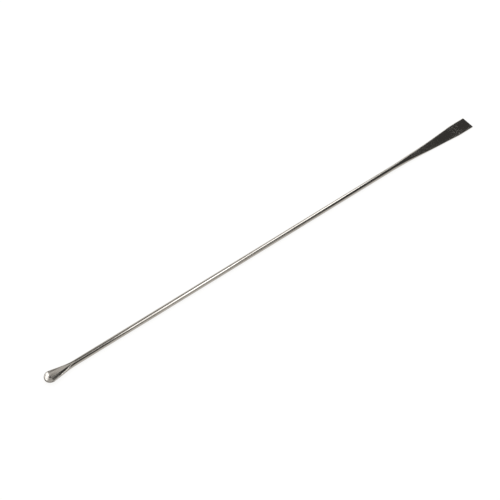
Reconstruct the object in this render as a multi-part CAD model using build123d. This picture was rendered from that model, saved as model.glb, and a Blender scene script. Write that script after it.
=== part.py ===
from build123d import *
import math
import os

# Driving sizes in millimetres. The spatula lies along X with its blade towards +X,
# its underside on Z = 0 and its middle at the origin. It is one piece of steel, and its
# spoon, rod and blade are three solids that meet face to face on the rod's round section.
overall_length = 200.0
rod_diameter = 2.0

# The blade: the rod thins over its neck and flares out to the shoulder, and from there the
# blade runs parallel to a square end. Its underside is lifted a little above the rod's.
blade_length = 42.0
blade_width = 6.0
blade_thickness = 0.5
blade_lift = 0.3
blade_tip_length = 7.5
blade_neck_length = 24.0
blade_end_rounding = 0.1

# The spoon: a drop in plan, with a round front and straight sides that run into the
# rod, pressed into a shallow bowl with a rounded rim.
spoon_length = 10.2
spoon_width = 4.8
spoon_neck_length = 4.0
bowl_wall = 0.5
bowl_dish = 0.45
bowl_rim_height = 1.9

# Numbers of sections that shape the blade's flare and the spoon's swelling neck, and of the
# short arcs that draw a rounded edge, which keep the lofted faces narrow.
flare_section_count = 12
swell_section_count = 10
edge_arc_count = 5
# The blade widens with this power of the distance from the rod, which hollows its sides.
flare_power = 1.35
# The blade's underside lifts over this share of the neck.
lift_share = 0.5
# The dish deepens and its rim lifts evenly with the spread of the metal, after a soft start
# over about this share of the spread.
onset_share = 0.06
# Half the angle of the narrow crown of the rod from which each flat face starts.
crown_half_angle = math.radians(8.0)
# The turn that sweeps the bowl's wall round its front, in degrees.
front_turn = 180

# Derived places along X.
rod_radius = rod_diameter / 2
blade_end = overall_length / 2
blade_shoulder = blade_end - blade_tip_length
blade_start = blade_end - blade_length
flare_length = blade_shoulder - blade_start
spoon_tip = -overall_length / 2
bowl_radius = spoon_width / 2
bowl_centre = spoon_tip + bowl_radius
spoon_corner = spoon_tip + spoon_length
spoon_start = spoon_corner + spoon_neck_length / 2
swell_length = spoon_start - bowl_centre

# Half-angle of the drop: each side touches the bowl's circle and meets the rod's side at
# the corner.
corner_reach = spoon_corner - bowl_centre
corner_distance = math.hypot(corner_reach, rod_radius)
drop_angle = math.asin(bowl_radius / corner_distance) - math.atan2(rod_radius, corner_reach)
drop_slope = math.tan(drop_angle)
drop_touch = bowl_centre + bowl_radius * math.sin(drop_angle)
bowl_edge_height = bowl_rim_height - bowl_wall / 2


def joined(start, middle, end):
    """A straight edge where the three points lie level, and otherwise an arc."""
    if math.isclose(start[1], middle[1]) and math.isclose(middle[1], end[1]):
        return Line(start, end)
    return ThreePointArc(start, middle, end)


def mirrored(point):
    """The point on the other side of the middle plane."""
    return (-point[0], point[1])


def right_half(width, thickness, dish, edge_height):
    """Points of a round-edged strip bent to a dish, from the middle of its upper face to
    the middle of its lower face: the edge's rounding is centred at edge_height."""
    edge_radius = thickness / 2
    edge_centre = width / 2 - edge_radius
    lean = 2 * math.atan2(dish, edge_centre)
    across = edge_radius * math.cos(lean)
    along = edge_radius * math.sin(lean)
    upper_middle = (0, edge_height - dish + edge_radius)
    upper_joint = (edge_centre - along, edge_height + across)
    rim = (edge_centre + across, edge_height + along)
    lower_joint = (edge_centre + along, edge_height - across)
    lower_middle = (0, edge_height - dish - edge_radius)
    return upper_middle, upper_joint, rim, lower_joint, lower_middle


def round_half():
    """The same five points on the round rod."""
    crown_width = rod_radius * math.sin(crown_half_angle)
    crown_height = rod_radius * math.cos(crown_half_angle)
    upper_joint = (crown_width, rod_radius + crown_height)
    lower_joint = (crown_width, rod_radius - crown_height)
    return (0, rod_diameter), upper_joint, (rod_radius, rod_radius), lower_joint, (0, 0)


def section_plane(x):
    """The plane across the spatula at x, with its own X along Y and its own Y up."""
    return Plane(origin=(x, 0, 0), x_dir=(0, 1, 0), z_dir=(1, 0, 0))


def rounded_edge(upper_joint, rim, lower_joint):
    """The rounded edge of the strip, as short arcs in a row."""
    edge = ThreePointArc(upper_joint, rim, lower_joint)
    arcs = []
    for step in range(edge_arc_count):
        start = edge @ (step / edge_arc_count)
        middle = edge @ ((step + 0.5) / edge_arc_count)
        end = edge @ ((step + 1) / edge_arc_count)
        arcs.append(ThreePointArc(start, middle, end))
    return arcs


def section(x, half):
    """The closed section at x whose right half runs through the five points given."""
    upper_middle, upper_joint, rim, lower_joint, lower_middle = half
    upper = joined(mirrored(upper_joint), upper_middle, upper_joint)
    lower = joined(lower_joint, lower_middle, mirrored(lower_joint))
    right = rounded_edge(upper_joint, rim, lower_joint)
    left = [mirror(arc, Plane.YZ) for arc in right]
    return section_plane(x) * make_face([upper, lower, *right, *left])


def eased(share):
    """A share from 0 to 1 that starts and ends softly, and stays at 1 beyond."""
    share = min(share, 1)
    return share ** 2 * (3 - 2 * share)


def blade_half(distance):
    """Half section of the blade at a distance from the rod's last round section."""
    width = rod_diameter + (blade_width - rod_diameter) * (distance / flare_length) ** flare_power
    share = distance / blade_neck_length
    thickness = rod_diameter - eased(share) * (rod_diameter - blade_thickness)
    return right_half(width, thickness, 0, eased(share / lift_share) * blade_lift + thickness / 2)


def drop_width(x):
    """Width of the drop at x: the bowl's circle, its tangents, and a soft bend at the rod."""
    if x < drop_touch:
        return 2 * math.sqrt(bowl_radius ** 2 - (x - bowl_centre) ** 2)
    if x < spoon_start - spoon_neck_length:
        return rod_diameter + 2 * drop_slope * (spoon_corner - x)
    return rod_diameter + drop_slope * (spoon_start - x) ** 2 / spoon_neck_length


def spoon_half(distance):
    """Half section of the spoon at a distance from the rod's last round section. The
    reciprocal of its thickness grows evenly with its width, so that the metal of the rod
    keeps about the same section."""
    width = drop_width(spoon_start - distance)
    spread = (width - rod_diameter) / (spoon_width - rod_diameter)
    thinness = 1 / rod_diameter + spread * (1 / bowl_wall - 1 / rod_diameter)
    forming = spread ** 2 * (1 + onset_share) / (spread + onset_share)
    edge_height = rod_radius + forming * (bowl_edge_height - rod_radius)
    return right_half(width, 1 / thinness, forming * bowl_dish, edge_height)


def rod():
    """The round rod, from the spoon to the blade."""
    round_section = section_plane(spoon_start) * Pos(0, rod_radius) * Circle(rod_radius)
    return extrude(round_section, blade_start - spoon_start, (1, 0, 0))


def blade():
    """The flare, lofted from the rod, and the parallel tip with its end edges rounded."""
    sections = [section(blade_start, round_half())]
    for step in range(1, flare_section_count + 1):
        distance = flare_length * step / flare_section_count
        sections.append(section(blade_start + distance, blade_half(distance)))
    tip = extrude(sections[-1], blade_tip_length, (1, 0, 0))
    end_edges = tip.faces().sort_by(Axis.X)[-1].edges()
    return loft(sections) + fillet(end_edges, blade_end_rounding)


def spoon():
    """The swelling neck, lofted from the rod through sections that come closer together
    towards the bowl, and the round front turned about the bowl's middle."""
    sections = [section(spoon_start, round_half())]
    for step in range(1, swell_section_count + 1):
        distance = swell_length * math.sin(math.pi / 2 * step / swell_section_count)
        sections.append(section(spoon_start - distance, spoon_half(distance)))
    wall = split(sections[-1], Plane.XZ, keep=Keep.BOTTOM)
    turning_axis = Axis((bowl_centre, 0, 0), (0, 0, 1))
    return loft(sections) + revolve(wall, turning_axis, front_turn)


stretches = {"spoon": spoon(), "rod": rod(), "blade": blade()}

os.makedirs("parts", exist_ok=True)
for name, stretch in stretches.items():
    export_step(stretch, f"parts/{name}.step")
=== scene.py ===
import math

import bmesh
import bpy
from bpy.props import FloatProperty, FloatVectorProperty, IntProperty, PointerProperty
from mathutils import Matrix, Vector


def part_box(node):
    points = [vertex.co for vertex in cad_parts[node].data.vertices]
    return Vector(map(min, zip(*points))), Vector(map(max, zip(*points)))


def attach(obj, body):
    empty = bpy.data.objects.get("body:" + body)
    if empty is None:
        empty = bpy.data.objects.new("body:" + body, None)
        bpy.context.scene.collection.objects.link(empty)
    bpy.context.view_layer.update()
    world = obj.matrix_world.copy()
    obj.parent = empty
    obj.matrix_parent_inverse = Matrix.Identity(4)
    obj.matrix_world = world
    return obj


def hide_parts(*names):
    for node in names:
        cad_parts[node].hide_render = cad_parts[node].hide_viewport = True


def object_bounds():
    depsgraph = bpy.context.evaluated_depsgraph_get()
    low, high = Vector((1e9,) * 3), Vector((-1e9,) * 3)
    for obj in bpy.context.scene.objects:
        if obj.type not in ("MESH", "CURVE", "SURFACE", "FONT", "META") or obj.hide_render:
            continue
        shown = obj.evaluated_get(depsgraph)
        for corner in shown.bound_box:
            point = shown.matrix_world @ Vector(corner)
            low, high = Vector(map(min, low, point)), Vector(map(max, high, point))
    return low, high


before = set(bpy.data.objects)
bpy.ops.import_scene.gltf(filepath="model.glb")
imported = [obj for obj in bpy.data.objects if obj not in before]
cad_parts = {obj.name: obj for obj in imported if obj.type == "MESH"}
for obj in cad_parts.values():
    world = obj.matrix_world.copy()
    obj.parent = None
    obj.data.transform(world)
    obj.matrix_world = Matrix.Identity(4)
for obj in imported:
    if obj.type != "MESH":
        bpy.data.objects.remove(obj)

bl_info = {
    "name": "Lab Spatula",
    "version": (1, 0, 0),
    "blender": (4, 5, 0),
    "location": "3D View > Sidebar > Spatula",
    "description": "Forges a polished steel lab spatula and sets a pale studio round it",
    "category": "Object",
}

# Lengths read from the frame are rounded to a tenth of a millimetre, as facets lie a little
# inside round forms.
SIZE_DIGITS = 4


def rounded_box(node):
    """The lowest and the highest corner of a node of the frame."""
    return [Vector([round(size, SIZE_DIGITS) for size in corner]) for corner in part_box(node)]


# The box of the whole part and of its three stretches.
CAD_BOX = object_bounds()
SPOON_LOW, SPOON_HIGH = rounded_box("spoon")
ROD_LOW, ROD_HIGH = rounded_box("rod")
BLADE_LOW, BLADE_HIGH = rounded_box("blade")

# Points closer than this are one point.
WELD_DISTANCE = 1e-6
# The blade's underside lifts over this share of its neck.
LIFT_SHARE = 0.5
# Shares of the way round a ring, from the middle of the upper face.
HALF_RING = 0.5
WHOLE_RING = 1.0
# Names of the layers that hold each point's share of the way round its ring, and how much
# its edge is rubbed.
TURN_LAYER = "turn"
EDGE_LAYER = "edge"
# Rubbing fades from an edge over this share of half a ring.
RUB_SHARE = 0.1

# Octaves of detail in the noise that each mark of the finish comes from.
NOISE_DETAIL = {"lines": 3.0, "smudges": 4.0, "rubbing": 2.0, "patches": 2.0, "waves": 1.0}
# Levels of the noise between which a mark fades in.
NOISE_SPANS = {
    "smudges": (0.46, 0.68),
    "scratches": (0.77, 0.82),
    "rubbing": (0.35, 0.65),
    "patches": (0.45, 0.7),
}
# Directions of the scratches, in degrees from the length of the spatula.
SCRATCH_TURNS = (9, -17, 31, -48, 74)
# Shares of the haze that lines and smudges add to the roughness.
HAZE_SHARES = {"lines": 0.7, "smudges": 0.9}
# Roughness that the other marks add.
MARK_ROUGHNESS = {"scratches": 0.04, "specks": 0.3, "rubbing": 0.12}
# Heights of the other marks, as shares of the height of a line.
RELIEF_SHARES = {"scratches": -0.35, "specks": 0.7, "rubbing": 0.5}
# Shares of the cells that hold a speck, in the middle of the band and in patches elsewhere.
BAND_SPECK_SHARE = 0.5
PATCH_SPECK_SHARE = 0.004
# A speck reaches up to this share of a cell from its middle, and its edge fades between these.
SPECK_REACH_SHARE = 0.35
SPECK_EDGE_SHARES = (0.02, 0.16)

# Tints of the lights.
PLAIN_WHITE = (1.0, 1.0, 1.0)
WARM_WHITE = (1.0, 0.975, 0.935)
# The soft lights: form, tint, centre in metres, turn in degrees, width and length in metres,
# and brightness, where 1 is white.
SOFTBOXES = {
    "far_strip": ("ELLIPSE", PLAIN_WHITE, (0.453, 0.455, 0.85), (0, 0, -22.5), (0.212, 1.36), 1.9),
    "near_strip": ("ELLIPSE", PLAIN_WHITE, (0.191, -0.197, 0.845), (0, 0, 0), (0.195, 0.856), 1.6),
    "near_panel": ("RECTANGLE", WARM_WHITE, (0.403, -1.138, 0.85), (0, 0, 0), (0.305, 0.91), 0.6),
    "left_panel": ("RECTANGLE", WARM_WHITE, (-0.33, 0.16, 0.56), (0, 0, 0), (0.6, 0.44), 0.52),
    "left_edge": ("RECTANGLE", WARM_WHITE, (-0.0175, 0.44, 0.56), (0, 0, 0), (0.025, 0.36), 0.31),
    "left_fill": ("RECTANGLE", WARM_WHITE, (0.07, -0.061, 0.855), (0, 0, 0), (0.134, 0.486), 0.42),
    "far_panel": ("RECTANGLE", WARM_WHITE, (1.4, 3.2, 1.94), (-90, 0, 0), (1.84, 3.88), 0.36),
    "far_window": ("RECTANGLE", PLAIN_WHITE, (3.85, 3.2, 2.13), (-90, 0, 0), (2.9, 4.26), 1.05),
}
# Heights on a ball of radius 1 between which the mirrored backdrop gives way to the ceiling.
BACKDROP_SPAN = (0.2, 0.55)


class SpatulaShape(bpy.types.PropertyGroup):
    """Sizes of the spatula."""

    rod_diameter: FloatProperty(
        name="Rod Diameter", description="Thickness of the round rod",
        default=ROD_HIGH.z - ROD_LOW.z, unit="LENGTH", precision=5)
    blade_width: FloatProperty(
        name="Blade Width", description="Width of the blade from its shoulder to its end",
        default=BLADE_HIGH.y - BLADE_LOW.y, unit="LENGTH", precision=5)
    blade_thickness: FloatProperty(
        name="Blade Thickness", description="Thickness of the blade from its shoulder to its end",
        default=0.0005, unit="LENGTH", precision=5)
    blade_tip_length: FloatProperty(
        name="Blade Tip Length", description="Length of the parallel tip of the blade",
        default=0.0075, unit="LENGTH", precision=5)
    blade_neck_length: FloatProperty(
        name="Blade Neck Length", description="Length over which the rod thins to the blade",
        default=0.024, unit="LENGTH", precision=5)
    blade_flare_power: FloatProperty(
        name="Blade Flare Power", description="Power of the distance with which the blade widens",
        default=1.35, min=1, max=3, subtype="UNSIGNED")
    blade_lift: FloatProperty(
        name="Blade Lift", description="Height of the blade's underside above the rod's",
        default=0.0003, unit="LENGTH", precision=5)
    blade_end_rounding: FloatProperty(
        name="Blade End Rounding", description="Radius along the square end of the blade",
        default=0.0001, unit="LENGTH", precision=5)
    spoon_width: FloatProperty(
        name="Spoon Width", description="Width of the drop-shaped spoon",
        default=SPOON_HIGH.y - SPOON_LOW.y, unit="LENGTH", precision=5)
    spoon_length: FloatProperty(
        name="Spoon Length", description="Length of the drop, up to the corner at the rod",
        default=0.0102, unit="LENGTH", precision=5)
    spoon_neck_length: FloatProperty(
        name="Spoon Neck Length", description="Length of the soft bend from the drop to the rod",
        default=0.004, unit="LENGTH", precision=5)
    bowl_wall: FloatProperty(
        name="Bowl Wall", description="Thickness of the bowl's wall",
        default=0.0005, unit="LENGTH", precision=5)
    bowl_dish: FloatProperty(
        name="Bowl Dish", description="Depth of the bowl's middle below its rim",
        default=0.00045, unit="LENGTH", precision=5)
    bowl_rim_height: FloatProperty(
        name="Bowl Rim Height", description="Height of the bowl's rim above the underside",
        default=0.0019, unit="LENGTH", precision=5)
    bowl_front_rise: FloatProperty(
        name="Bowl Front Rise", description="Height by which the bowl's floor rises to its front",
        default=0.00032, unit="LENGTH", precision=5)
    ring_points: IntProperty(
        name="Ring Points", description="Points in each ring round the spatula",
        default=96, min=16, max=256, subtype="UNSIGNED")


class SteelFinish(bpy.types.PropertyGroup):
    """Finish of the polished steel."""

    colour: FloatVectorProperty(
        name="Colour", description="Colour of the bare steel",
        default=(0.66, 0.63, 0.59), size=3, min=0, max=1, subtype="COLOR")
    polish: FloatProperty(
        name="Polish", description="Roughness where the steel is best polished",
        default=0.05, min=0, max=1, subtype="FACTOR")
    haze: FloatProperty(
        name="Haze", description="Roughness that smudges and fine lines add",
        default=0.06, min=0, max=1, subtype="FACTOR")
    bowl_wear: FloatProperty(
        name="Bowl Wear", description="Roughness that use adds to the bowl",
        default=0.11, min=0, max=1, subtype="FACTOR")
    bowl_wear_fade: FloatProperty(
        name="Bowl Wear Fade", description="Length over which the wear fades towards the rod",
        default=0.0046, unit="LENGTH", precision=5)
    smudge_colour: FloatVectorProperty(
        name="Smudge Colour", description="Colour of the steel under a smudge",
        default=(0.59, 0.56, 0.515), size=3, min=0, max=1, subtype="COLOR")
    line_length: FloatProperty(
        name="Line Length", description="Length of the fine polishing lines",
        default=0.015, unit="LENGTH", precision=5)
    line_width: FloatProperty(
        name="Line Width", description="Width of the fine polishing lines",
        default=0.00012, unit="LENGTH", precision=5)
    scratch_length: FloatProperty(
        name="Scratch Length", description="Length of the scratches",
        default=0.004, unit="LENGTH", precision=5)
    scratch_width: FloatProperty(
        name="Scratch Width", description="Width of the noise whose peaks are the scratches",
        default=0.00018, unit="LENGTH", precision=5)
    smudge_size: FloatProperty(
        name="Smudge Size", description="Size of the smudges",
        default=0.006, unit="LENGTH", precision=5)
    speck_spacing: FloatProperty(
        name="Speck Spacing", description="Spacing of the specks at the blade's shoulder",
        default=0.0002, unit="LENGTH", precision=5)
    speck_band: FloatProperty(
        name="Speck Band", description="Half the width of the band of specks",
        default=0.003, unit="LENGTH", precision=5)
    rub_spacing: FloatProperty(
        name="Rub Spacing", description="Size of the patches in which edges are rubbed",
        default=0.0008, unit="LENGTH", precision=5)
    wave_size: FloatProperty(
        name="Wave Size", description="Size of the soft waves left by forging",
        default=0.004, unit="LENGTH", precision=5)
    wave_height: FloatProperty(
        name="Wave Height", description="Height of the soft waves left by forging",
        default=0.000006, unit="LENGTH", precision=6)
    mark_depth: FloatProperty(
        name="Mark Depth", description="Depth of lines, scratches and specks",
        default=0.000002, unit="LENGTH", precision=6)


class StudioSettings(bpy.types.PropertyGroup):
    """Camera, floor and lights."""

    view_azimuth: FloatProperty(
        name="View Azimuth", description="Turn of the camera about the upright",
        default=math.radians(-36.7435), subtype="ANGLE")
    view_elevation: FloatProperty(
        name="View Elevation", description="Height of the camera above the horizon",
        default=math.radians(54.855), subtype="ANGLE")
    view_distance: FloatProperty(
        name="View Distance", description="Distance from the camera to the point it looks at",
        default=0.3529, unit="LENGTH", precision=5)
    view_aim: FloatVectorProperty(
        name="View Aim", description="Point that the camera looks at",
        default=(-0.011206, 0.002003, 0.001), size=3,
        subtype="TRANSLATION", unit="LENGTH", precision=6)
    lens: FloatProperty(
        name="Lens", description="Focal length of the camera",
        default=67.823, unit="CAMERA")
    floor_colour: FloatVectorProperty(
        name="Floor Colour", description="Colour of the pale floor",
        default=(0.9, 0.9, 0.9), size=3, min=0, max=1, subtype="COLOR")
    floor_white: FloatProperty(
        name="Floor White", description="Share of plain white in the floor as it is seen",
        default=0.85, min=0, max=1, subtype="FACTOR")
    ceiling: FloatProperty(
        name="Ceiling", description="Brightness of the dark ceiling in the steel",
        default=0.046, min=0, max=1, subtype="FACTOR")
    light_colour: FloatVectorProperty(
        name="Light Colour", description="Tint of the floor and of the room in the steel",
        default=WARM_WHITE, size=3, min=0, max=1, subtype="COLOR")
    air: FloatProperty(
        name="Air", description="Brightness of the soft light from all round",
        default=1.1, min=0, max=2, subtype="FACTOR")
    floor_mirrored: FloatProperty(
        name="Floor Mirrored", description="Brightness of the floor in the steel",
        default=0.6, min=0, max=1, subtype="FACTOR")
    backdrop_mirrored: FloatProperty(
        name="Backdrop Mirrored", description="Brightness of the low backdrop in the steel",
        default=0.3, min=0, max=1, subtype="FACTOR")


class Section:
    """A round-edged strip, bent to a dish, across the spatula."""

    def __init__(self, width, thickness, edge_height, dish=0.0, rubbed=0.0):
        self.rubbed = rubbed
        self.edge_radius = thickness / 2
        self.edge_centre = max(width / 2 - self.edge_radius, 0.0)
        self.edge_height = edge_height
        self.lean = 2 * math.atan2(dish, self.edge_centre) if dish else 0.0
        self.bend_radius = self.edge_centre / math.sin(self.lean) if self.lean else 0.0

    def face_point(self, share, side):
        """A point of the upper (side 1) or lower (side -1) face, from its middle to its edge."""
        if not self.lean:
            return self.edge_centre * share, self.edge_height + side * self.edge_radius
        radius = self.bend_radius - side * self.edge_radius
        bend_height = self.edge_height + self.bend_radius * math.cos(self.lean)
        angle = self.lean * share
        return radius * math.sin(angle), bend_height - radius * math.cos(angle)

    def edge_point(self, share):
        """A point of the rounded edge, from the upper face to the lower."""
        angle = self.lean + math.pi / 2 - math.pi * share
        across = self.edge_centre + self.edge_radius * math.cos(angle)
        return across, self.edge_height + self.edge_radius * math.sin(angle)

    def shares(self):
        """Shares of half a ring's points that lie on the upper face and on the edge: half of
        the points follow the length and half follow the turn."""
        upper = lower = self.edge_centre
        if self.lean:
            upper = (self.bend_radius - self.edge_radius) * self.lean
            lower = (self.bend_radius + self.edge_radius) * self.lean
        edge = math.pi * self.edge_radius
        length = upper + edge + lower
        turn = self.lean + math.pi + self.lean
        return (upper / length + self.lean / turn) / 2, (edge / length + math.pi / turn) / 2

    def half_point(self, share):
        """The point at a share of the way from the middle of the upper face, round the
        edge, to the middle of the lower face."""
        upper_share, edge_share = self.shares()
        lower_share = 1 - upper_share - edge_share
        if share < upper_share:
            return self.face_point(share / upper_share, 1)
        if share <= upper_share + edge_share:
            return self.edge_point((share - upper_share) / edge_share)
        return self.face_point((1 - share) / lower_share, -1)

    def point(self, turn):
        """The point at a share of the way all round, from the middle of the upper face."""
        if turn <= HALF_RING:
            return self.half_point(2 * turn)
        across, height = self.half_point(2 * (1 - turn))
        return -across, height

    def rubbing(self, turn):
        """How much the steel is rubbed at a share of the way all round: most on the edges of
        a flat section, and not at all on the round rod."""
        upper_share, edge_share = self.shares()
        share = 2 * min(turn, 1 - turn)
        gap = max(upper_share - share, share - upper_share - edge_share, 0)
        flatness = self.edge_centre / (self.edge_centre + self.edge_radius)
        return max(flatness * (1 - gap / RUB_SHARE), self.rubbed, 0)


def round_section(shape):
    """The rod's round section."""
    return Section(shape.rod_diameter, shape.rod_diameter, shape.rod_diameter / 2)


def eased(share):
    """A share from 0 to 1 that starts and ends softly, and stays at 1 beyond."""
    share = min(share, 1)
    return share ** 2 * (3 - 2 * share)


def blade_section(shape, distance):
    """The section of the blade at a distance from the rod: it flares out to the shoulder and
    thins over its neck, with its underside a little above the rod's."""
    flare = BLADE_HIGH.x - BLADE_LOW.x - shape.blade_tip_length
    spread = min(distance / flare, 1) ** shape.blade_flare_power
    width = shape.rod_diameter + spread * (shape.blade_width - shape.rod_diameter)
    share = distance / shape.blade_neck_length
    lift = eased(share / LIFT_SHARE) * shape.blade_lift
    thickness = shape.rod_diameter - eased(share) * (shape.rod_diameter - shape.blade_thickness)
    return Section(width, thickness, lift + thickness / 2)


def blade_stations(shape):
    """Places along the blade and their sections: neck, taper, tip, rounded end."""
    neck_rings, taper_rings, tip_rings, end_rings = 30, 12, 6, 4
    start, end = BLADE_LOW.x, BLADE_HIGH.x
    neck, rounding = shape.blade_neck_length, shape.blade_end_rounding
    shoulder = end - shape.blade_tip_length
    taper = shoulder - start - neck
    places = [start + neck * (step + 1) / neck_rings for step in range(neck_rings)]
    places += [start + neck + taper * (step + 1) / taper_rings for step in range(taper_rings)]
    tip = shape.blade_tip_length - 2 * rounding
    places += [shoulder + tip * (step + 1) / tip_rings for step in range(tip_rings)]
    places.append(end - rounding)
    stations = [(place, blade_section(shape, place - start)) for place in places]
    for step in range(1, end_rings + 1):
        angle = math.pi / 2 * step / end_rings
        inset = rounding * (1 - math.cos(angle))
        section = Section(shape.blade_width - 2 * inset, shape.blade_thickness - 2 * inset,
                          shape.blade_lift + shape.blade_thickness / 2, rubbed=1.0)
        stations.append((end - rounding + rounding * math.sin(angle), section))
    return stations


def spoon_stations(shape):
    """Places along the spoon's swelling neck, from the rod to the widest part of the bowl,
    and their sections."""
    swell_rings = 32
    onset_share = 0.06
    start, tip = SPOON_HIGH.x, SPOON_LOW.x
    rod_radius, bowl_radius = shape.rod_diameter / 2, shape.spoon_width / 2
    bowl_centre = tip + bowl_radius
    corner = tip + shape.spoon_length
    reach = corner - bowl_centre
    angle = math.asin(bowl_radius / math.hypot(reach, rod_radius)) - math.atan2(rod_radius, reach)
    slope = math.tan(angle)
    touch = bowl_centre + bowl_radius * math.sin(angle)
    edge_lift = shape.bowl_rim_height - shape.bowl_wall / 2 - rod_radius
    stations = []
    for step in range(1, swell_rings + 1):
        place = start - (start - bowl_centre) * math.sin(math.pi / 2 * step / swell_rings)
        if place < touch:
            width = 2 * math.sqrt(bowl_radius ** 2 - (place - bowl_centre) ** 2)
        elif place < start - shape.spoon_neck_length:
            width = shape.rod_diameter + 2 * slope * (corner - place)
        else:
            width = shape.rod_diameter + slope * (start - place) ** 2 / shape.spoon_neck_length
        spread = (width - shape.rod_diameter) / (shape.spoon_width - shape.rod_diameter)
        thinness = 1 / shape.rod_diameter
        thinness += spread * (1 / shape.bowl_wall - 1 / shape.rod_diameter)
        forming = spread ** 2 * (1 + onset_share) / (spread + onset_share)
        edge_height = rod_radius + forming * edge_lift
        section = Section(width, 1 / thinness, edge_height, forming * shape.bowl_dish)
        stations.append((place, section))
    return stations


def start_ring(shape, place):
    """Adds the rod's round ring across the spatula and opens it for editing."""
    bpy.ops.object.select_all(action="DESELECT")
    bpy.ops.mesh.primitive_circle_add(
        vertices=shape.ring_points, radius=shape.rod_diameter / 2, fill_type="NOTHING",
        location=(place, 0, shape.rod_diameter / 2), rotation=(math.pi / 2, 0, math.pi / 2))
    bpy.ops.object.transform_apply(location=True, rotation=True, scale=True)
    piece = bpy.context.object
    bpy.ops.object.mode_set(mode="EDIT")
    bpy.ops.mesh.select_mode(type="VERT")
    steel = bmesh.from_edit_mesh(piece.data)
    steel.verts.layers.float.new(EDGE_LAYER)
    turn = steel.verts.layers.float.new(TURN_LAYER)
    for point in steel.verts:
        angle = math.atan2(point.co.y, point.co.z - shape.rod_diameter / 2)
        step = round(angle / (2 * math.pi) * shape.ring_points)
        point[turn] = step % shape.ring_points / shape.ring_points
    bmesh.update_edit_mesh(piece.data)
    return piece


def draw_ring(piece, stations, place):
    """Draws the selected ring out from place through the stations, pressing it to each
    section."""
    for next_place, section in stations:
        bpy.ops.mesh.extrude_region_move(
            TRANSFORM_OT_translate={"value": (next_place - place, 0, 0)})
        place = next_place
        steel = bmesh.from_edit_mesh(piece.data)
        turn = steel.verts.layers.float[TURN_LAYER]
        edge = steel.verts.layers.float[EDGE_LAYER]
        for point in steel.verts:
            if point.select:
                point.co.y, point.co.z = section.point(point[turn])
                point[edge] = section.rubbing(point[turn])
        bmesh.update_edit_mesh(piece.data)


def select_ring(piece, place, last_turn):
    """Selects the ring at place, from the middle of its upper face to last_turn."""
    bpy.ops.mesh.select_all(action="DESELECT")
    steel = bmesh.from_edit_mesh(piece.data)
    turn = steel.verts.layers.float[TURN_LAYER]
    for point in steel.verts:
        near = abs(point.co.x - place) < WELD_DISTANCE
        point.select = near and point[turn] <= last_turn + WELD_DISTANCE
    steel.select_flush(True)
    bmesh.update_edit_mesh(piece.data)


def press_front(shape, piece, bowl_centre):
    """Presses the front of the bowl so that its floor rises evenly to the tip, after a soft
    start over about the onset share of the way."""
    onset_share = 0.15
    steel = bmesh.from_edit_mesh(piece.data)
    for point in steel.verts:
        reach = max(bowl_centre - point.co.x, 0) / (shape.spoon_width / 2)
        even = reach ** 2 * (1 + onset_share) / (reach + onset_share)
        point.co.z += shape.bowl_front_rise * even - shape.bowl_dish * reach ** 2
    bmesh.update_edit_mesh(piece.data)


def check_closed(piece):
    """Raises an error if the steel's skin is open anywhere or turned inside out."""
    steel = bmesh.new()
    steel.from_mesh(piece.data)
    open_edges = sum(not edge.is_manifold for edge in steel.edges)
    volume = steel.calc_volume(signed=True)
    steel.free()
    if open_edges or volume <= 0:
        raise RuntimeError(f"The spatula has {open_edges} open edges and a volume of {volume} m3")


def evenly(size):
    """The size of a patch that is as long one way as another."""
    return size, size, size


class NodeSheet:
    """Adds nodes to one node tree."""

    def __init__(self, tree):
        self.tree = tree
        tree.nodes.clear()

    def node(self, kind, inputs=None, settings=None, output=0):
        """Adds a node, sets it up, feeds its sockets and gives one of its outputs."""
        node = self.tree.nodes.new(kind)
        for name, value in (settings or {}).items():
            setattr(node, name, value)
        for name, value in (inputs or {}).items():
            if isinstance(value, Shade):
                self.tree.links.new(value.socket, node.inputs[name])
            else:
                node.inputs[name].default_value = value
        return Shade(self, node.outputs[output]) if node.outputs else None

    def noise(self, place, size, turn=0.0, detail=0.0):
        """Cloudy noise with patches of the size given, turned about the upright."""
        spot = self.node(
            "ShaderNodeMapping", {"Vector": place, "Rotation": (0, 0, turn), "Scale": size},
            {"vector_type": "TEXTURE"})
        return self.node("ShaderNodeTexNoise", {"Vector": spot, "Scale": 1.0, "Detail": detail})

    def specks(self, place, finish, shoulder):
        """Specks that lie thick in a band across the blade's shoulder and thin elsewhere."""
        spot = self.node(
            "ShaderNodeMapping", {"Vector": place, "Scale": evenly(finish.speck_spacing)},
            {"vector_type": "TEXTURE"})
        cells = {"Vector": spot, "Scale": 1.0}
        random = self.node("ShaderNodeTexVoronoi", cells, output="Color")
        chance = self.node("ShaderNodeSeparateColor", {"Color": random}, output="Red")
        reach = self.node("ShaderNodeSeparateColor", {"Color": random}, output="Green")
        gap = self.node("ShaderNodeTexVoronoi", cells) - SPECK_REACH_SHARE * reach
        near = 1 - gap.between(*SPECK_EDGE_SHARES)
        along = self.node("ShaderNodeSeparateXYZ", {"Vector": place})
        apart = self.node("ShaderNodeMath", {0: along - shoulder}, {"operation": "ABSOLUTE"})
        band = 1 - apart.between(0, finish.speck_band)
        patch = self.noise(place, evenly(finish.smudge_size), detail=NOISE_DETAIL["patches"])
        patch = patch.between(*NOISE_SPANS["patches"])
        share = BAND_SPECK_SHARE * band + PATCH_SPECK_SHARE * patch
        return near * chance.sum("LESS_THAN", chance, share)

    def mixed(self, share, first, second):
        """The first colour, giving way to the second by a share."""
        # A Mix node has sockets for every kind of value: these are the ones for colours.
        factor, start, end, result = 0, 6, 7, 2
        colours = {factor: share, start: (*first, 1), end: (*second, 1)}
        return self.node("ShaderNodeMix", colours, {"data_type": "RGBA"}, output=result)


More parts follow.
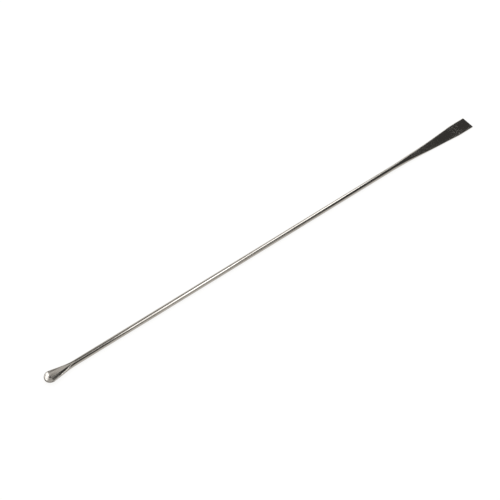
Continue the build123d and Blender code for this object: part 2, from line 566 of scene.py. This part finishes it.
class Shade:
    """One output of a node. Sums on it add Math nodes."""

    def __init__(self, sheet, socket):
        self.sheet = sheet
        self.socket = socket

    def sum(self, operation, first, second):
        """Adds a Math node that works on two values."""
        return self.sheet.node("ShaderNodeMath", {0: first, 1: second}, {"operation": operation})

    def between(self, low, high):
        """0 up to the low value, 1 from the high value on, and even between them."""
        return self.sheet.node(
            "ShaderNodeMapRange", {"Value": self, "From Min": low, "From Max": high})

    def __add__(self, other):
        return self.sum("ADD", self, other)

    def __radd__(self, other):
        return self.sum("ADD", other, self)

    def __sub__(self, other):
        return self.sum("SUBTRACT", self, other)

    def __rsub__(self, other):
        return self.sum("SUBTRACT", other, self)

    def __mul__(self, other):
        return self.sum("MULTIPLY", self, other)

    def __rmul__(self, other):
        return self.sum("MULTIPLY", other, self)


def polished_steel(finish, bowl_centre, shoulder):
    """Bright polished steel with fine lines along it, scratches, smudges, specks at the blade's
    shoulder, rubbed edges and a slightly worn bowl."""
    material = bpy.data.materials.new("polished_steel")
    material.use_nodes = True
    sheet = NodeSheet(material.node_tree)
    place = sheet.node("ShaderNodeTexCoord", output="Object")
    line_size = (finish.line_length, finish.line_width, finish.line_width)
    lines = sheet.noise(place, line_size, detail=NOISE_DETAIL["lines"])
    smudge = sheet.noise(place, evenly(finish.smudge_size), detail=NOISE_DETAIL["smudges"])
    smudge = smudge.between(*NOISE_SPANS["smudges"])
    scratch_size = (finish.scratch_length, finish.scratch_width, finish.scratch_length)
    scratch = 0.0
    for turn in SCRATCH_TURNS:
        peaks = sheet.noise(place, scratch_size, math.radians(turn))
        scratch = peaks.between(*NOISE_SPANS["scratches"]) + scratch
    edge = sheet.node("ShaderNodeAttribute", settings={"attribute_name": EDGE_LAYER}, output="Fac")
    rub = sheet.noise(place, evenly(finish.rub_spacing), detail=NOISE_DETAIL["rubbing"])
    rub = edge * rub.between(*NOISE_SPANS["rubbing"])
    specks = sheet.specks(place, finish, shoulder)
    along = sheet.node("ShaderNodeSeparateXYZ", {"Vector": place})
    wear = 1 - along.between(bowl_centre, bowl_centre + finish.bowl_wear_fade)
    haze = HAZE_SHARES["lines"] * lines + HAZE_SHARES["smudges"] * smudge
    roughness = finish.polish + finish.haze * haze + finish.bowl_wear * wear
    marks = lines
    for name, mark in {"scratches": scratch, "specks": specks, "rubbing": rub}.items():
        roughness = roughness + MARK_ROUGHNESS[name] * mark
        marks = marks + RELIEF_SHARES[name] * mark
    colour = sheet.mixed(smudge, finish.colour, finish.smudge_colour)
    waves = sheet.noise(place, evenly(finish.wave_size), detail=NOISE_DETAIL["waves"])
    waves = sheet.node(
        "ShaderNodeBump", {"Strength": 1.0, "Distance": finish.wave_height, "Height": waves})
    bump = sheet.node("ShaderNodeBump", {
        "Strength": 1.0, "Distance": finish.mark_depth, "Height": marks, "Normal": waves})
    shader = sheet.node("ShaderNodeBsdfPrincipled", {
        "Base Color": colour, "Metallic": 1.0, "Roughness": roughness, "Normal": bump})
    sheet.node("ShaderNodeOutputMaterial", {"Surface": shader})
    return material


class SPATULA_OT_forge(bpy.types.Operator):
    """Draw the steel out from the rod's ring into the blade and the dished spoon"""

    bl_idname = "spatula.forge"
    bl_label = "Forge Spatula"

    def execute(self, context):
        rod_rings = 40
        front_steps = 40
        shape = context.scene.spatula_shape
        spoon_end, blade_end = ROD_LOW.x, ROD_HIGH.x
        piece = start_ring(shape, spoon_end)
        piece.name = "spatula"
        rod = [(spoon_end + (blade_end - spoon_end) * (step + 1) / rod_rings, round_section(shape))
               for step in range(rod_rings)]
        draw_ring(piece, rod + blade_stations(shape), spoon_end)
        bpy.ops.mesh.edge_face_add()
        swell = spoon_stations(shape)
        select_ring(piece, spoon_end, WHOLE_RING)
        draw_ring(piece, swell, spoon_end)
        bowl_centre = swell[-1][0]
        select_ring(piece, bowl_centre, HALF_RING)
        bpy.ops.mesh.spin(
            steps=front_steps, angle=math.pi, center=(bowl_centre, 0, 0), axis=(0, 0, -1))
        press_front(shape, piece, bowl_centre)
        bpy.ops.mesh.select_all(action="SELECT")
        bpy.ops.mesh.remove_doubles(threshold=WELD_DISTANCE)
        bpy.ops.mesh.normals_make_consistent(inside=False)
        bpy.ops.object.mode_set(mode="OBJECT")
        check_closed(piece)
        piece.data.attributes.remove(piece.data.attributes[TURN_LAYER])
        bpy.ops.object.shade_smooth()
        shoulder = BLADE_HIGH.x - shape.blade_tip_length
        steel = polished_steel(context.scene.steel_finish, bowl_centre, shoulder)
        piece.data.materials.append(steel)
        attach(piece, "root")
        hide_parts("spoon", "rod", "blade")
        return {"FINISHED"}


def pale_floor(studio):
    """A pale floor, seen as nearly white and mirrored in the steel as pale grey."""
    material = bpy.data.materials.new("pale_floor")
    material.use_nodes = True
    material.cycles.emission_sampling = "NONE"
    sheet = NodeSheet(material.node_tree)
    seen = sheet.node("ShaderNodeLightPath", output="Is Camera Ray")
    mirrored = sheet.node("ShaderNodeLightPath", output="Is Glossy Ray")
    through = sheet.node("ShaderNodeLightPath", output="Is Transmission Ray")
    matt = sheet.node("ShaderNodeBsdfDiffuse", {"Color": (*studio.floor_colour, 1)})
    strength = seen + (mirrored + through) * studio.floor_mirrored
    tint = sheet.mixed(seen, studio.light_colour, PLAIN_WHITE)
    white = sheet.node("ShaderNodeEmission", {"Color": tint, "Strength": strength})
    share = (seen + mirrored + through) * studio.floor_white
    surface = sheet.node("ShaderNodeMixShader", {0: share, 1: matt, 2: white})
    sheet.node("ShaderNodeOutputMaterial", {"Surface": surface})
    return material


def studio_air(studio):
    """Soft light from all round, seen as white. The steel mirrors a grey backdrop low down and
    a dark ceiling."""
    world = bpy.data.worlds.new("studio_air")
    world.use_nodes = True
    world.cycles.sampling_method = "NONE"
    sheet = NodeSheet(world.node_tree)
    way = sheet.node("ShaderNodeTexCoord", output="Generated")
    height = sheet.node("ShaderNodeSeparateXYZ", {"Vector": way}, output="Z")
    low, high = BACKDROP_SPAN
    backdrop = sheet.node("ShaderNodeMapRange", {
        "Value": height, "From Min": low, "From Max": high,
        "To Min": studio.backdrop_mirrored, "To Max": studio.ceiling},
        {"interpolation_type": "SMOOTHSTEP"})
    seen = sheet.node("ShaderNodeLightPath", output="Is Camera Ray")
    mirrored = sheet.node("ShaderNodeLightPath", output="Is Glossy Ray")
    strength = seen + mirrored * backdrop + (1 - seen - mirrored) * studio.air
    tint = sheet.mixed(seen, studio.light_colour, PLAIN_WHITE)
    shader = sheet.node("ShaderNodeBackground", {"Color": tint, "Strength": strength})
    sheet.node("ShaderNodeOutputWorld", {"Surface": shader})
    return world


def add_softbox(name, form, tint, centre, turn, size, brightness):
    """Hangs a soft light that shines along its own -Z."""
    rotation = [math.radians(angle) for angle in turn]
    bpy.ops.object.light_add(type="AREA", location=centre, rotation=rotation)
    lamp = bpy.context.object
    lamp.name = name
    lamp.data.shape = form
    width, length = size
    lamp.data.size, lamp.data.size_y = width, length
    area = width * length * (math.pi / 4 if form == "ELLIPSE" else 1)
    lamp.data.energy = brightness * math.pi * area
    lamp.data.color = tint


class SPATULA_OT_stage(bpy.types.Operator):
    """Set the pale floor, the soft lights and the camera"""

    bl_idname = "spatula.stage"
    bl_label = "Set Stage"

    def execute(self, context):
        studio = context.scene.studio_settings
        floor_size = 8.0
        floor_gap = 0.00002
        nearest_view, furthest_view = 0.01, 100.0
        bpy.ops.object.select_all(action="DESELECT")
        floor_height = CAD_BOX[0].z - floor_gap
        bpy.ops.mesh.primitive_plane_add(size=floor_size, location=(0, 0, floor_height))
        bpy.ops.object.transform_apply(location=True, rotation=True, scale=True)
        floor = context.object
        floor.name = "floor"
        floor.data.materials.append(pale_floor(studio))
        context.scene.world = studio_air(studio)
        for name, softbox in SOFTBOXES.items():
            add_softbox(name, *softbox)
        azimuth, elevation = studio.view_azimuth, studio.view_elevation
        level = Vector((math.sin(azimuth), -math.cos(azimuth), 0))
        back = level * math.cos(elevation) + Vector((0, 0, math.sin(elevation)))
        bpy.ops.object.camera_add(location=Vector(studio.view_aim) + back * studio.view_distance)
        camera = context.object
        camera.rotation_mode = "QUATERNION"
        camera.rotation_quaternion = (-back).to_track_quat("-Z", "Y")
        camera.data.lens = studio.lens
        camera.data.clip_start = nearest_view
        camera.data.clip_end = furthest_view
        context.scene.camera = camera
        context.scene.view_settings.view_transform = "Standard"
        if context.scene.camera is None or context.scene.world is None:
            raise RuntimeError("The stage has no camera or no world")
        return {"FINISHED"}


class SPATULA_PT_panel(bpy.types.Panel):
    """Sizes, finish and studio of the spatula"""

    bl_label = "Lab Spatula"
    bl_idname = "SPATULA_PT_panel"
    bl_space_type = "VIEW_3D"
    bl_region_type = "UI"
    bl_category = "Spatula"

    def draw(self, context):
        for group in (context.scene.spatula_shape, context.scene.steel_finish,
                      context.scene.studio_settings):
            column = self.layout.column(align=True)
            for name in group.bl_rna.properties.keys():
                if name not in ("rna_type", "name"):
                    column.prop(group, name)
        self.layout.operator("spatula.forge")
        self.layout.operator("spatula.stage")


CLASSES = (
    SpatulaShape, SteelFinish, StudioSettings,
    SPATULA_OT_forge, SPATULA_OT_stage, SPATULA_PT_panel)


def register():
    """Registers the classes and gives the scene its settings."""
    for cls in CLASSES:
        bpy.utils.register_class(cls)
    bpy.types.Scene.spatula_shape = PointerProperty(type=SpatulaShape)
    bpy.types.Scene.steel_finish = PointerProperty(type=SteelFinish)
    bpy.types.Scene.studio_settings = PointerProperty(type=StudioSettings)


def unregister():
    """Takes the settings and the classes away again."""
    del bpy.types.Scene.studio_settings
    del bpy.types.Scene.steel_finish
    del bpy.types.Scene.spatula_shape
    for cls in reversed(CLASSES):
        bpy.utils.unregister_class(cls)


def main():
    """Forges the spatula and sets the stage."""
    register()
    bpy.ops.spatula.forge()
    bpy.ops.spatula.stage()


if __name__ == "__main__":
    main()
